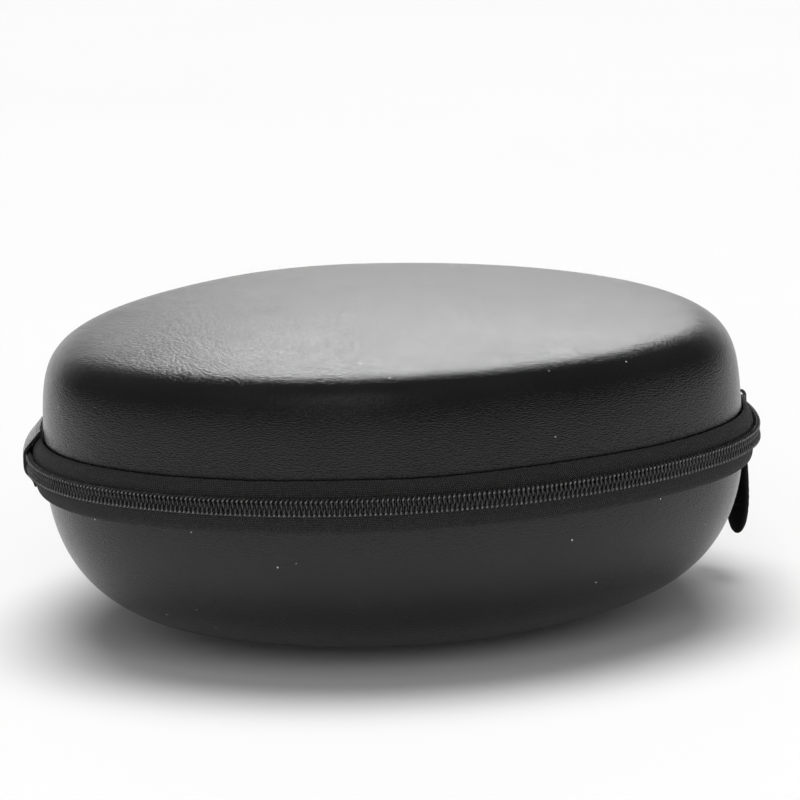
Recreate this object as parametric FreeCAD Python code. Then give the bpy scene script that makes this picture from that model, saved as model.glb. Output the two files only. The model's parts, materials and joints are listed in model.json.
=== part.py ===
import FreeCAD, Part
import math
import os

from FreeCAD import Vector

# Hard clamshell carrying case for folding headphones, closed by a two-slider zip.
#
# Frame: millimetres, +Z up. The origin is the centre of the flat that the case rests on. +Y points to
# the hinge and -Y to the rounded apex of the plan. n is the distance out from the plan outline, z_zip
# the height above the zip plane, and u runs along the zip.

os.makedirs("parts", exist_ok=True)

# Plan outline: a rounded triangle of tangent arcs, symmetric about the YZ plane
APEX_RADIUS = 50.0
SIDE_RADIUS = 116.0
CORNER_RADIUS = 60.0
BACK_RADIUS = 127.0
APEX_CENTRE_Y = -53.0
APEX_HALF_ANGLE = 18.5
SIDE_END_ANGLE = 16.5
SCALING_RADIUS = 90.0  # an inset of this much shrinks the outline to a point

# Shell halves
BASE_HEIGHT = 52.8
LID_HEIGHT = 34.8
LID_CORNER = 21.3
LID_CORNER_POWER = 5.0
LID_DRAFT = 1.65
LID_DOME = 4.0
DOME_INSET = 66.0
BASE_WALL_HANDLE = 34.5
BASE_FLAT_HANDLE = 48.0
BASE_FLAT_INSET = 67.0
PROFILE_STEPS = 14
DOME_STEPS = 4

# Layers of each shell half, as depths in from its outer surface
SKIN_DEPTHS = (0.0, 0.8)
SHELL_DEPTHS = (1.0, 4.0)
LINING_DEPTHS = (4.2, 5.0)

# Rim and zip sections
RIM_GAP = 1.2
BINDING_GAP = 0.35
WELT_N = (0.2, 0.75)
WELT_HEIGHT = 4.0
COIL_N = (3.0, 4.8)
COIL_Z = (0.75, 2.5)
TAPE_THICKNESS = 0.7
TAPE_FACE_N = 2.9
TAPE_FACE_TOP = 3.3
LID_TAPE_EDGE = (1.0, 6.7)
BASE_TAPE_EDGE = (2.3, 7.4)

# Hinge at the back
HINGE_AXIS_ANGLE = 90.0
TAPE_END = 22.0
COIL_END = 24.5
STOP_ANGLE = 23.2
SPINE_HALF_ANGLE = 27.0
SPINE_N = (5.1, 5.8)
SPINE_FACE_TOP = 3.2
SPINE_LID_EDGE = (1.8, 7.8)
SPINE_BASE_EDGE = (3.8, 8.2)
HINGE_LINING_HALF_ANGLE = 20.0
HINGE_LINING_INSETS = (5.25, 5.85)
HINGE_LINING_REACH = 6.0

# Mesh pocket in the lid
POCKET_Z = 8.0
POCKET_MOUTH_Y = -8.0
NET_THICKNESS = 0.6
NET_INSET = 6.5
POCKET_BINDING_INSETS = (5.5, 6.3)
POCKET_BINDING_REACH = 1.2
ELASTIC_WIDTH = 6.0
ELASTIC_THICKNESS = 1.4
ELASTIC_GAP = 0.2

# Sliders, parked nose to nose on the right-hand side arc
MEETING_ANGLE = -48.4
SLIDER_LENGTH = 10.4
SLIDER_GAP = 0.8
SLIDER_HALF_WIDTH = 3.6
SLIDER_CORNER = 1.0
INNER_PLATE_N = (1.05, 1.75)
OUTER_PLATE_N = (5.2, 6.2)
SIDE_WALL_N = 3.3
SIDE_WALL_Z = 2.9
POST_HALF_WIDTH = 0.35
POST_LENGTH = 1.8
POST_SETBACK = 0.8

# Crown, ring and pull tab
WIRE_RADIUS = 0.5
RING_BEND = 1.5
RING_STRAIGHT = 8.0
RING_CLEARANCE = 0.3
CROWN_BAR = 0.5
CROWN_SPAN = 6.6
CROWN_LEG = 1.1
CROWN_CORNER = 0.7
EYE_RADIUS = 1.05
EYE_RIM = 2.4
EYE_THICKNESS = 1.3
TAB_THICKNESS = 2.8
TAB_HALF_WIDTH = 4.5
TAB_WIDEST = 20.5
TAB_GRIP_START = 6.0
TAB_END_RADIUS = 3.2
TAB_LENGTH = 31.0

UP = Vector(0, 0, 1)
FULL_TURN = 360.0
SPACE = 400.0  # larger than the case, for half-space cuts


def direction(angle):
    """Unit vector in the plan at an angle in degrees."""
    return Vector(math.cos(math.radians(angle)), math.sin(math.radians(angle)), 0)


def plan_arcs():
    """Return the outline's arcs, anticlockwise from the apex, as (centre, radius, start, end)."""
    apex_end = APEX_HALF_ANGLE - 90.0
    apex = Vector(0, APEX_CENTRE_Y, 0)
    side = apex + direction(apex_end) * (APEX_RADIUS - SIDE_RADIUS)
    corner = side + direction(SIDE_END_ANGLE) * (SIDE_RADIUS - CORNER_RADIUS)
    corner_end = math.degrees(math.acos(corner.x / (BACK_RADIUS - CORNER_RADIUS)))
    back = corner + direction(corner_end) * (CORNER_RADIUS - BACK_RADIUS)
    return [
        (apex, APEX_RADIUS, -180.0 - apex_end, apex_end),
        (side, SIDE_RADIUS, apex_end, SIDE_END_ANGLE),
        (corner, CORNER_RADIUS, SIDE_END_ANGLE, corner_end),
        (back, BACK_RADIUS, corner_end, 180.0 - corner_end),
        (mirrored(corner), CORNER_RADIUS, 180.0 - corner_end, 180.0 - SIDE_END_ANGLE),
        (mirrored(side), SIDE_RADIUS, 180.0 - SIDE_END_ANGLE, 180.0 - apex_end),
    ]


def mirrored(point):
    """Mirror a point in the YZ plane."""
    return Vector(-point.x, point.y, point.z)


PLAN = plan_arcs()
ZIP_Z = BASE_HEIGHT
BAR_N = OUTER_PLATE_N[1] + RING_CLEARANCE + WIRE_RADIUS + RING_BEND


def outline_wire(z, inset=0.0, grow=0.0):
    """The plan outline at height z, shrunk in proportion by inset or grown in parallel."""
    scale = 1.0 - inset / SCALING_RADIUS
    edges = []
    for centre, radius, start, end in PLAN:
        middle = Vector(centre.x * scale, centre.y * scale, z)
        edges.append(Part.makeCircle(radius * scale + grow, middle, UP, start, end))
    return Part.Wire(edges)


def flat_ring(outer_wire, inner_wire, height):
    """A flat ring between two outlines, extruded upwards."""
    return Part.Face(outer_wire).cut(Part.Face(inner_wire)).extrude(UP * height)


def sweep_round_plan(section, start=0.0, end=FULL_TURN):
    """Sweep a face drawn in (n, z) round the plan between two angles."""
    pieces = []
    for turn in (-FULL_TURN, 0.0, FULL_TURN):
        for centre, radius, arc_start, arc_end in PLAN:
            low = max(arc_start + turn, start)
            high = min(arc_end + turn, end)
            if high > low:
                piece = section.copy()
                piece.translate(centre + Vector(radius, 0, 0))
                piece.rotate(centre, UP, low)
                pieces.append(piece.revolve(centre, UP, high - low))
    return fused(pieces)


def fused(pieces):
    """Join touching solids into one."""
    if len(pieces) == 1:
        return pieces[0]
    return pieces[0].multiFuse(pieces[1:]).removeSplitter()


def section_face(points):
    """A face from (n, z_zip) corner points."""
    corners = [Vector(n, 0, ZIP_Z + z) for n, z in points]
    return Part.Face(Part.makePolygon(corners + corners[:1]))


def lid_profile(depth):
    """(inset, z) points up the lid at a depth in from its surface: wall, shoulder and dome."""
    rise = LID_HEIGHT - RIM_GAP - depth - LID_DOME
    corner = LID_CORNER - depth
    exponent = 2.0 / LID_CORNER_POWER
    points = []
    for step in range(PROFILE_STEPS + 1):
        angle = math.radians(90.0 * step / PROFILE_STEPS)
        height = rise * math.sin(angle) ** exponent
        turn_in = corner * (1.0 - max(math.cos(angle), 0.0) ** exponent)
        points.append((depth + turn_in + height * math.tan(math.radians(LID_DRAFT)), height))
    shoulder = points[-1][0]
    for step in range(1, DOME_STEPS + 1):
        points.append((shoulder + (DOME_INSET - shoulder) * step / DOME_STEPS, rise))
    rim_z = ZIP_Z + RIM_GAP - dome_height(depth)
    return [(inset, rim_z + height + dome_height(inset)) for inset, height in points]


def dome_height(inset):
    """How far the dome lifts the lid at an inset from its outline."""
    return LID_DOME * (1.0 - (1.0 - inset / SCALING_RADIUS) ** 2)


def base_profile(depth):
    """(inset, z) points down the bowl of the base at a depth in from its surface: one Bezier curve."""
    drop = BASE_HEIGHT - RIM_GAP - depth
    handle = BASE_WALL_HANDLE * drop / BASE_HEIGHT
    flat_handle = BASE_FLAT_INSET - BASE_FLAT_HANDLE
    control = [(depth, 0.0), (depth, handle), (flat_handle, drop), (BASE_FLAT_INSET, drop)]
    points = []
    for step in range(PROFILE_STEPS + 1):
        t = step / PROFILE_STEPS
        weights = ((1 - t) ** 3, 3 * t * (1 - t) ** 2, 3 * t ** 2 * (1 - t), t ** 3)
        inset = sum(weight * point[0] for weight, point in zip(weights, control))
        fall = sum(weight * point[1] for weight, point in zip(weights, control))
        points.append((inset, ZIP_Z - RIM_GAP - fall))
    return points


def bowl(profile):
    """A closed solid with straight facets between outlines at each (inset, z) of a profile."""
    return Part.makeLoft([outline_wire(z, inset) for inset, z in profile], True, True)


def layer(profile_at, depths):
    """One layer of a shell half: the bowl at its outer depth less the bowl at its inner depth."""
    outer_depth, inner_depth = depths
    return bowl(profile_at(outer_depth)).cut(bowl(profile_at(inner_depth)))


def rim_binding(side):
    """The fabric strip over a half's rim, from its lining out to the welt."""
    low = min(side * BINDING_GAP, side * RIM_GAP) + ZIP_Z
    outer = outline_wire(low, grow=WELT_N[1])
    inner = outline_wire(low, inset=LINING_DEPTHS[1])
    return flat_ring(outer, inner, RIM_GAP - BINDING_GAP)


def rim_welt(side):
    """The piping between a half's skin and its zip tape."""
    inner, outer = WELT_N
    corners = [(inner, RIM_GAP), (outer, RIM_GAP), (outer, WELT_HEIGHT), (inner, WELT_HEIGHT)]
    return sweep_round_plan(section_face([(n, side * z) for n, z in corners]))


def zip_tape(side, edge):
    """The woven tape: upright beside the coil, then folded back towards the shell."""
    inner_n = TAPE_FACE_N - TAPE_THICKNESS
    corners = [
        (inner_n, COIL_Z[0]), (TAPE_FACE_N, COIL_Z[0]), (TAPE_FACE_N, TAPE_FACE_TOP),
        edge, (edge[0] - TAPE_THICKNESS, edge[1]), (inner_n, TAPE_FACE_TOP),
    ]
    section = section_face([(n, side * z) for n, z in corners])
    return sweep_round_plan(section, HINGE_AXIS_ANGLE + TAPE_END, HINGE_AXIS_ANGLE + FULL_TURN - TAPE_END)


def zip_coil(side):
    """Half of the coil chain, as a bead with a rounded outer edge."""
    inner, outer = COIL_N
    low, high = COIL_Z
    bulge = (high - low) / 2.0
    corner_a = Vector(inner, 0, ZIP_Z + side * low)
    corner_b = Vector(outer - bulge, 0, ZIP_Z + side * low)
    crest = Vector(outer, 0, ZIP_Z + side * (low + bulge))
    corner_c = Vector(outer - bulge, 0, ZIP_Z + side * high)
    corner_d = Vector(inner, 0, ZIP_Z + side * high)
    edges = [
        Part.makeLine(corner_a, corner_b),
        Part.Arc(corner_b, crest, corner_c).toShape(),
        Part.makeLine(corner_c, corner_d),
        Part.makeLine(corner_d, corner_a),
    ]
    section = Part.Face(Part.Wire(edges))
    return sweep_round_plan(section, HINGE_AXIS_ANGLE + COIL_END, HINGE_AXIS_ANGLE + FULL_TURN - COIL_END)


def hinge_spine_cover():
    """The strip sewn over the band at the back, across both halves and over the zip's ends."""
    inner, outer = SPINE_N
    thickness = outer - inner
    corners = [
        (SPINE_LID_EDGE[0] - thickness, SPINE_LID_EDGE[1]), SPINE_LID_EDGE,
        (outer, SPINE_FACE_TOP), (outer, -SPINE_FACE_TOP),
        (SPINE_BASE_EDGE[0], -SPINE_BASE_EDGE[1]), (SPINE_BASE_EDGE[0] - thickness, -SPINE_BASE_EDGE[1]),
        (inner, -SPINE_FACE_TOP), (inner, SPINE_FACE_TOP),
    ]
    start = HINGE_AXIS_ANGLE - SPINE_HALF_ANGLE
    return sweep_round_plan(section_face(corners), start, start + 2 * SPINE_HALF_ANGLE)


def hinge_lining():
    """The fabric strip inside, glued to both linings across the hinge."""
    outer_inset, inner_inset = HINGE_LINING_INSETS
    low = ZIP_Z - HINGE_LINING_REACH
    ring = flat_ring(outline_wire(low, outer_inset), outline_wire(low, inner_inset), 2 * HINGE_LINING_REACH)
    half_width = BACK_RADIUS * math.sin(math.radians(HINGE_LINING_HALF_ANGLE))
    window = Part.makeBox(2 * half_width, SPACE, SPACE, Vector(-half_width, 0, 0))
    return ring.common(window)


def zip_end_stop(side):
    """The metal bar across both tapes at one end of the chain, under the spine cover."""
    inner, outer = COIL_N
    corners = [(inner, -COIL_Z[1]), (outer, -COIL_Z[1]), (outer, COIL_Z[1]), (inner, COIL_Z[1])]
    half_angle = 0.5 * (COIL_END - STOP_ANGLE)
    centre = HINGE_AXIS_ANGLE + side * STOP_ANGLE
    return sweep_round_plan(section_face(corners), centre - half_angle, centre + half_angle)


def behind_pocket_mouth(solid):
    """Keep the part of a solid on the hinge side of the pocket's mouth."""
    return solid.common(Part.makeBox(SPACE, SPACE, SPACE, Vector(-SPACE / 2, POCKET_MOUTH_Y, 0)))


def pocket_net():
    """The net panel across the back of the lid."""
    panel = Part.Face(outline_wire(ZIP_Z + POCKET_Z, NET_INSET)).extrude(UP * NET_THICKNESS)
    return behind_pocket_mouth(panel)


def pocket_binding():
    """The tape that sews the net to the lid's lining."""
    outer_inset, inner_inset = POCKET_BINDING_INSETS
    low = ZIP_Z + POCKET_Z - POCKET_BINDING_REACH
    height = 2 * POCKET_BINDING_REACH + NET_THICKNESS
    ring = flat_ring(outline_wire(low, outer_inset), outline_wire(low, inner_inset), height)
    return behind_pocket_mouth(ring)


def pocket_elastic():
    """The elastic edge along the pocket's mouth."""
    low = ZIP_Z + POCKET_Z - (ELASTIC_THICKNESS - NET_THICKNESS) / 2
    panel = Part.Face(outline_wire(low, NET_INSET)).extrude(UP * ELASTIC_THICKNESS)
    start = POCKET_MOUTH_Y - ELASTIC_GAP - ELASTIC_WIDTH
    return panel.common(Part.makeBox(SPACE, ELASTIC_WIDTH, SPACE, Vector(-SPACE / 2, start, 0)))


def on_zip(shape, angle):
    """Place a shape drawn at the local frame (x = n, y = u, z = z_zip) at an angle on the side arc."""
    centre, radius = PLAN[1][:2]
    shape.translate(centre + Vector(radius, 0, ZIP_Z))
    shape.rotate(centre, UP, angle)
    return shape


def block(n_range, u_range, z_range):
    """A box between pairs of n, u and z limits."""
    corner = Vector(n_range[0], u_range[0], z_range[0])
    sizes = [high - low for low, high in (n_range, u_range, z_range)]
    return Part.makeBox(*sizes, corner)


def edges_along(shape, axis):
    """The straight edges of a shape that run along an axis."""
    found = []
    for edge in shape.Edges:
        run = edge.Vertexes[-1].Point - edge.Vertexes[0].Point
        if run.Length > 0 and abs(run.dot(axis)) > 0.999 * run.Length:
            found.append(edge)
    return found


def slider_body(nose):
    """Two plates joined by the nose post, with side walls that guide the coils. nose is +1 or -1."""
    half = SLIDER_LENGTH / 2
    plates = []
    for n_range in (INNER_PLATE_N, OUTER_PLATE_N):
        plate = block(n_range, (-half, half), (-SLIDER_HALF_WIDTH, SLIDER_HALF_WIDTH))
        plates.append(plate.makeFillet(SLIDER_CORNER, edges_along(plate, Vector(1, 0, 0))))
    walls = []
    for side in (-1, 1):
        z_range = sorted((side * SIDE_WALL_Z, side * SLIDER_HALF_WIDTH))
        u_range = (SLIDER_CORNER - half, half - SLIDER_CORNER)
        walls.append(block((SIDE_WALL_N, OUTER_PLATE_N[0]), u_range, z_range))
    post_u = sorted((nose * (half - POST_SETBACK), nose * (half - POST_SETBACK - POST_LENGTH)))
    post = block((INNER_PLATE_N[1], OUTER_PLATE_N[0]), post_u, (-POST_HALF_WIDTH, POST_HALF_WIDTH))
    return fused(plates + walls + [post])


def slider_crown():
    """The bridge over the slider that the ring hangs on."""
    top = BAR_N + CROWN_BAR
    half = CROWN_SPAN / 2
    foot = OUTER_PLATE_N[1]
    arch = block((foot, top), (-half, half), (-CROWN_BAR, CROWN_BAR))
    top_edges = [edge for edge in edges_along(arch, UP) if edge.CenterOfMass.x > BAR_N]
    arch = arch.makeFillet(CROWN_CORNER, top_edges)
    opening = block((foot, BAR_N - CROWN_BAR), (CROWN_LEG - half, half - CROWN_LEG), (-CROWN_BAR, CROWN_BAR))
    return arch.cut(opening)


def pull_ring():
    """A long wire link round the crown's bar, hanging in the plane across the zip."""
    top = Vector(BAR_N, 0, 0)
    bottom = Vector(BAR_N, 0, -RING_STRAIGHT)
    across = Vector(0, 1, 0)
    pieces = []
    for centre, sweep in ((top, -180.0), (bottom, 180.0)):
        profile = Part.makeCircle(WIRE_RADIUS, centre + Vector(RING_BEND, 0, 0), UP)
        pieces.append(Part.Face(Part.Wire(profile)).revolve(centre, across, sweep))
    for offset in (-RING_BEND, RING_BEND):
        start = bottom + Vector(offset, 0, 0)
        pieces.append(Part.makeCylinder(WIRE_RADIUS, RING_STRAIGHT, start, UP))
    return fused(pieces)


def tab_outline(n):
    """The pull tab's outline: a round eye, sides that swell to the widest point, and a round end."""
    eye_z = -RING_STRAIGHT - RING_BEND
    end_z = eye_z - TAB_LENGTH
    side_z = end_z + TAB_END_RADIUS
    left_eye = Vector(n, -EYE_RIM, eye_z)
    right_eye = Vector(n, EYE_RIM, eye_z)
    right_end = Vector(n, TAB_END_RADIUS, side_z)
    left_end = Vector(n, -TAB_END_RADIUS, side_z)
    widest_z = eye_z - TAB_WIDEST
    return Part.Wire([
        Part.Arc(left_eye, Vector(n, 0, eye_z + EYE_RIM), right_eye).toShape(),
        Part.Arc(right_eye, Vector(n, TAB_HALF_WIDTH, widest_z), right_end).toShape(),
        Part.Arc(right_end, Vector(n, 0, end_z), left_end).toShape(),
        Part.Arc(left_end, Vector(n, -TAB_HALF_WIDTH, widest_z), left_eye).toShape(),
    ])


def pull_tab():
    """A moulded tab: thin at the eye, thick where it is gripped."""
    eye_z = -RING_STRAIGHT - RING_BEND
    outward = Vector(1, 0, 0)
    thin = Part.Face(tab_outline(BAR_N - EYE_THICKNESS / 2)).extrude(outward * EYE_THICKNESS)
    grip = Part.Face(tab_outline(BAR_N - TAB_THICKNESS / 2)).extrude(outward * TAB_THICKNESS)
    below = Part.makeBox(SPACE, SPACE, SPACE, Vector(-SPACE / 2, -SPACE / 2, eye_z - TAB_GRIP_START - SPACE))
    grip = grip.common(below)
    eye = Part.makeCylinder(EYE_RADIUS, SPACE, Vector(-SPACE / 2, 0, eye_z), outward)
    return fused([thin, grip]).cut(eye)


def slider_parts():
    """Both sliders with crown, ring and tab, keyed by node name."""
    spacing = math.degrees((SLIDER_LENGTH + SLIDER_GAP) / (2 * SIDE_RADIUS))
    parts = {}
    for name, nose in (("front", 1), ("rear", -1)):
        angle = MEETING_ANGLE - nose * spacing
        parts[name + "_slider_body"] = on_zip(slider_body(nose), angle)
        parts[name + "_slider_crown"] = on_zip(slider_crown(), angle)
        parts[name + "_pull_ring"] = on_zip(pull_ring(), angle)
        parts[name + "_pull_tab"] = on_zip(pull_tab(), angle)
    return parts


def shell_parts():
    """The layered halves, their rims and their zip tapes, keyed by node name."""
    parts = {}
    for half, side, profile_at, edge in (
        ("base", -1, base_profile, BASE_TAPE_EDGE),
        ("lid", 1, lid_profile, LID_TAPE_EDGE),
    ):
        parts[half + "_skin"] = layer(profile_at, SKIN_DEPTHS)
        parts[half + "_shell"] = layer(profile_at, SHELL_DEPTHS)
        parts[half + "_lining"] = layer(profile_at, LINING_DEPTHS)
        parts[half + "_rim_binding"] = rim_binding(side)
        parts[half + "_rim_welt"] = rim_welt(side)
        parts[half + "_zip_tape"] = zip_tape(side, edge)
        parts[half + "_zip_coil"] = zip_coil(side)
    return parts


def hinge_and_pocket_parts():
    """The hinge strips, the zip's end stops and the lid's pocket, keyed by node name."""
    return {
        "hinge_spine_cover": hinge_spine_cover(),
        "hinge_lining": hinge_lining(),
        "left_zip_end_stop": zip_end_stop(1),
        "right_zip_end_stop": zip_end_stop(-1),
        "pocket_net": pocket_net(),
        "pocket_binding": pocket_binding(),
        "pocket_elastic": pocket_elastic(),
    }


def write_parts():
    """Write one STEP file for each node."""
    parts = {**shell_parts(), **hinge_and_pocket_parts(), **slider_parts()}
    for name, shape in parts.items():
        solids = shape.Solids
        print(name, "valid", shape.isValid(), "solids", len(solids), "volume %.1f" % shape.Volume)
        solids[0].exportStep("parts/%s.step" % name)


write_parts()
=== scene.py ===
import json
import math

import bpy
import numpy as np
from mathutils import Matrix, Vector


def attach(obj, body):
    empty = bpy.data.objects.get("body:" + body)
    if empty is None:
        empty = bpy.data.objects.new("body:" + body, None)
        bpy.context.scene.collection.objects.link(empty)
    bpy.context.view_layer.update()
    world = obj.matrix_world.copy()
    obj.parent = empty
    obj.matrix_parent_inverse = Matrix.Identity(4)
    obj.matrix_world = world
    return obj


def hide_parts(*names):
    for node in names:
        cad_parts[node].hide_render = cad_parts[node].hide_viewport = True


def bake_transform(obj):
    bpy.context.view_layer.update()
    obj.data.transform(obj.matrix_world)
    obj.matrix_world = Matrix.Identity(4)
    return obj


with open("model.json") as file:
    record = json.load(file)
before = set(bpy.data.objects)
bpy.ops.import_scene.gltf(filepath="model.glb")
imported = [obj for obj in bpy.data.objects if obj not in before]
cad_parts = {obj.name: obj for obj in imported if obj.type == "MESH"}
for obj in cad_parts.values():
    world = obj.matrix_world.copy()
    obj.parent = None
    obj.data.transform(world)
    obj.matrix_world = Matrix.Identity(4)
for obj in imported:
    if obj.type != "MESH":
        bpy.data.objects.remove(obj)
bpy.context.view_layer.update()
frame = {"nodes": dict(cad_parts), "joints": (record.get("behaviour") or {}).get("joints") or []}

MM = 0.001
TAU = 2.0 * math.pi
SEED = 7

# Plan outline, in millimetres and degrees: tangent arcs, as on the CAD frame
APEX_RADIUS = 50.0
SIDE_RADIUS = 116.0
CORNER_RADIUS = 60.0
BACK_RADIUS = 127.0
APEX_CENTRE_Y = -53.0
APEX_HALF_ANGLE = 18.5
SIDE_END_ANGLE = 16.5
SCALING_RADIUS = 90.0
PLAN_SAMPLES = 2880
PLAN_SOFTNESS = 3.0  # degrees over which one arc eases into the next

# Heights, in millimetres. The zip plane is level with the lid hinge's axis.
LID_HINGE = next(joint for joint in frame["joints"] if joint["name"] == "lid_hinge")
ZIP_Z = LID_HINGE["pos_m"][2] / MM
LID_HEIGHT = 34.8
BASE_HEIGHT = ZIP_Z
RIM_GAP = 1.2
LID_CORNER = 21.3
LID_CORNER_POWER = 5.0
LID_DRAFT = 1.65
LID_DOME = 4.0
LID_WALL_SHARE = 0.55  # of the shoulder's rise, sampled evenly as wall
BASE_WALL_HANDLE = 34.5
BASE_FLAT_HANDLE = 48.0
BASE_FLAT_INSET = 67.0
LINING_DEPTH = 5.0
LIP_WIDTH = 0.9
BOWL_STEP = 1.3

# Hinge and zip angles, in degrees
HINGE_ANGLE = 90.0
TAPE_END = 22.0
COIL_END = 24.5
SPINE_HALF_ANGLE = 27.0
HINGE_LINING_HALF_ANGLE = 20.0

# Coil chain, in millimetres
COIL_PITCH = 1.3
COIL_WIRE = 0.27
COIL_CENTRE_N = 3.92
COIL_HALF_THICKNESS = 0.62
COIL_REACH = (-0.42, 2.25)
COIL_STITCH_N = 4.78
COIL_STITCH_LEAN = 0.26
COIL_STITCH_Z = (1.5, 2.15)
COIL_STITCH_RADIUS = 0.2
COIL_STITCH_PHASE = 0.25
COIL_LEAN = 0.16
COIL_STEPS = 18
COIL_SIDES = 6


# ---------------------------------------------------------------- plan outline

def plan_arcs():
    """The outline's arcs as (centre, radius, end angle), anticlockwise from the apex, in mm and radians."""
    apex_end = math.radians(APEX_HALF_ANGLE - 90.0)
    side_end = math.radians(SIDE_END_ANGLE)
    apex = np.array([0.0, APEX_CENTRE_Y])
    side = apex + heading(apex_end) * (APEX_RADIUS - SIDE_RADIUS)
    corner = side + heading(side_end) * (SIDE_RADIUS - CORNER_RADIUS)
    corner_end = math.acos(corner[0] / (BACK_RADIUS - CORNER_RADIUS))
    back = corner + heading(corner_end) * (CORNER_RADIUS - BACK_RADIUS)
    return [
        (apex, APEX_RADIUS, apex_end),
        (side, SIDE_RADIUS, side_end),
        (corner, CORNER_RADIUS, corner_end),
        (back, BACK_RADIUS, math.pi / 2),
    ]


def heading(angle):
    """Unit vector in the plan at an angle in radians."""
    return np.array([math.cos(angle), math.sin(angle)])


def plan_support(angle):
    """Distance from the origin to the outline's tangent line whose normal is at this angle."""
    folded = math.atan2(math.sin(angle), abs(math.cos(angle)))
    for centre, radius, end in plan_arcs():
        if folded <= end + 1e-9:
            return float(centre @ heading(folded)) + radius
    raise ValueError("angle past the back of the outline")


def build_plan():
    """Sample the outline with its arcs eased together. Returns angles, x, y and length along it."""
    angles = np.arange(PLAN_SAMPLES + 1) * TAU / PLAN_SAMPLES
    support = np.array([plan_support(angle) for angle in angles[:-1]])
    spectrum = np.fft.rfft(support)
    order = np.arange(len(spectrum))
    spectrum = spectrum * np.exp(-0.5 * (order * math.radians(PLAN_SOFTNESS)) ** 2)
    distance = np.fft.irfft(spectrum)
    slope = np.fft.irfft(1j * order * spectrum)
    cosine, sine = np.cos(angles[:-1]), np.sin(angles[:-1])
    x = distance * cosine - slope * sine
    y = distance * sine + slope * cosine
    x, y = np.append(x, x[0]), np.append(y, y[0])
    length = np.append(0.0, np.cumsum(np.hypot(np.diff(x), np.diff(y))))
    return angles, x, y, length


PLAN_ANGLES, PLAN_X, PLAN_Y, PLAN_LENGTH = build_plan()
PERIMETER = PLAN_LENGTH[-1]
RIGHT_FRONT = PLAN_ANGLES > 1.5 * math.pi  # the quarter of the outline from the apex to the right side


def length_at(angle):
    """Distance along the outline, in mm, at an angle in radians that may pass a full turn."""
    turns = np.floor(np.asarray(angle, float) / TAU)
    return np.interp(angle - turns * TAU, PLAN_ANGLES, PLAN_LENGTH) + turns * PERIMETER


def angles_evenly(start, end, spacing):
    """Angles between two angles in degrees, evenly spaced along the outline, about spacing mm apart."""
    first, last = length_at(math.radians(start)), length_at(math.radians(end))
    count = max(2, int(round((last - first) / spacing)) + 1)
    return angles_along(np.linspace(first, last, count))


def angles_along(lengths):
    """The angles at distances along the outline."""
    turns = np.floor(lengths / PERIMETER)
    return np.interp(lengths - turns * PERIMETER, PLAN_LENGTH, PLAN_ANGLES) + turns * TAU


def place(angle, n, z):
    """Points in metres at plan angles, z mm above the zip.

    n is in mm outside the outline. Inside it, n is in proportion to the distance from the middle.
    """
    angle, n, z = np.broadcast_arrays(*(np.asarray(value, float) for value in (angle, n, z)))
    turned = np.mod(angle, TAU)
    x = np.interp(turned, PLAN_ANGLES, PLAN_X)
    y = np.interp(turned, PLAN_ANGLES, PLAN_Y)
    inward = 1.0 + np.minimum(n, 0.0) / SCALING_RADIUS
    outward = np.maximum(n, 0.0)
    points = [x * inward + np.cos(angle) * outward, y * inward + np.sin(angle) * outward, z + ZIP_Z]
    return np.stack(points, axis=-1) * MM


# ---------------------------------------------------------------- profiles

def lid_profile(depth, wall_steps=12, steps=40, dome_steps=34):
    """(n, z) pairs from the lid's rim up its wall, over the shoulder and to the middle of the dome."""
    rise = LID_HEIGHT - RIM_GAP - depth - LID_DOME
    corner = LID_CORNER - depth
    exponent = 2.0 / LID_CORNER_POWER
    wall = np.linspace(0.0, 1.0, wall_steps)[1:-1] * LID_WALL_SHARE
    swing = np.arcsin(np.minimum(wall ** (1 / exponent), 1.0))
    turns = np.concatenate([[0.0], swing, np.linspace(swing[-1], math.pi / 2, steps)[1:]])
    height = rise * np.sin(turns) ** exponent
    turn_in = corner * (1.0 - np.maximum(np.cos(turns), 0.0) ** exponent)
    inset = depth + turn_in + height * math.tan(math.radians(LID_DRAFT))
    inset = np.append(inset, np.linspace(inset[-1], SCALING_RADIUS, dome_steps)[1:-1])
    height = np.append(height, np.full(dome_steps - 2, rise))
    dome = LID_DOME * ((1.0 - depth / SCALING_RADIUS) ** 2 - (1.0 - inset / SCALING_RADIUS) ** 2)
    return np.stack([-inset, RIM_GAP + height + dome], axis=-1)


def base_profile(depth, steps=56, flat_steps=8):
    """(n, z) pairs from the base's rim down its bowl and across the flat that it rests on."""
    drop = BASE_HEIGHT - RIM_GAP - depth
    handle = BASE_WALL_HANDLE * drop / BASE_HEIGHT
    control = np.array([
        (depth, 0.0), (depth, handle), (BASE_FLAT_INSET - BASE_FLAT_HANDLE, drop), (BASE_FLAT_INSET, drop),
    ])
    t = np.linspace(0.0, 1.0, steps)
    weights = np.stack([(1 - t) ** 3, 3 * t * (1 - t) ** 2, 3 * t ** 2 * (1 - t), t ** 3], axis=-1)
    curve = weights @ control
    flat = np.linspace(BASE_FLAT_INSET, SCALING_RADIUS, flat_steps)[1:-1]
    curve = np.concatenate([curve, np.stack([flat, np.full(len(flat), drop)], axis=-1)])
    return np.stack([-curve[:, 0], -RIM_GAP - curve[:, 1]], axis=-1)


def smooth_path(points, count):
    """A Catmull-Rom curve through (n, z) points, evenly sampled by parameter."""
    knots = np.array(points, float)
    padded = np.concatenate([[2 * knots[0] - knots[1]], knots, [2 * knots[-1] - knots[-2]]])
    made = []
    for position in np.linspace(0.0, len(knots) - 1.0, count):
        k = min(int(position), len(knots) - 2)
        t = position - k
        a, b, c, d = padded[k:k + 4]
        square = (2 * a - 5 * b + 4 * c - d) * t ** 2
        cube = (3 * b - a - 3 * c + d) * t ** 3
        made.append(0.5 * (2 * b + (c - a) * t + square + cube))
    return np.array(made)


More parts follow.
